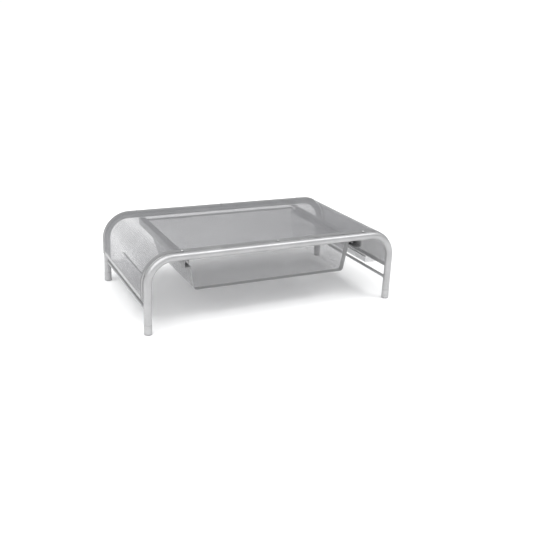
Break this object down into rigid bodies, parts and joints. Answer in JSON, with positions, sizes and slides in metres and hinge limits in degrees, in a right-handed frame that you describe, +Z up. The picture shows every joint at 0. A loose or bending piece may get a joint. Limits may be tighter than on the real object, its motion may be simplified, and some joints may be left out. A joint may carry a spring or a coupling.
{
  "type": "monitor riser stand",
  "caption": "Metal mesh monitor riser on two bent tube frames, with side trays and a low mesh drawer that slides out at the front.",
  "frame": {"origin": "centre of the footprint, on the desk", "axes": "+X to the user's right, -Y towards the user (the drawer's front), +Z up"},
  "size_m": [0.5114, 0.296, 0.1462],
  "materials": {
    "silver_paint": "glossy silver powder coat",
    "mesh_paint": "satin silver powder coat on expanded mesh",
    "steel": "plated",
    "cap_plastic": "matte light grey"
  },
  "bodies": {
    "stand": {"front_edge_band": "silver_paint", "front_frame_tube": "silver_paint", "front_left_end_cap": "cap_plastic", "front_left_rivet": "steel", "front_middle_rivet": "steel", "front_right_end_cap": "cap_plastic", "front_right_rivet": "steel", "left_drawer_rail": "silver_paint", "left_lower_band": "silver_paint", "left_rail_stop_pin": "steel", "left_side_rod": "silver_paint", "left_side_tray": "mesh_paint", "left_tray_lip_wire": "silver_paint", "mesh_panel": "mesh_paint", "rear_edge_band": "silver_paint", "rear_frame_tube": "silver_paint", "rear_left_end_cap": "cap_plastic", "rear_left_rivet": "steel", "rear_middle_rivet": "steel", "rear_right_end_cap": "cap_plastic", "rear_right_rivet": "steel", "right_drawer_rail": "silver_paint", "right_lower_band": "silver_paint", "right_rail_stop_pin": "steel", "right_side_rod": "silver_paint", "right_side_tray": "mesh_paint", "right_tray_lip_wire": "silver_paint"},
    "drawer": {"drawer_back": "mesh_paint", "drawer_front_band": "silver_paint", "drawer_rim_wire": "silver_paint", "drawer_tray": "mesh_paint", "left_stop_tab": "silver_paint", "right_stop_tab": "silver_paint"}
  },
  "joints": [
    {"name": "drawer_slide", "type": "slide", "parent": "stand", "child": "drawer", "axis": [0, -1, 0], "range_m": [0, 0.175]}
  ]
}
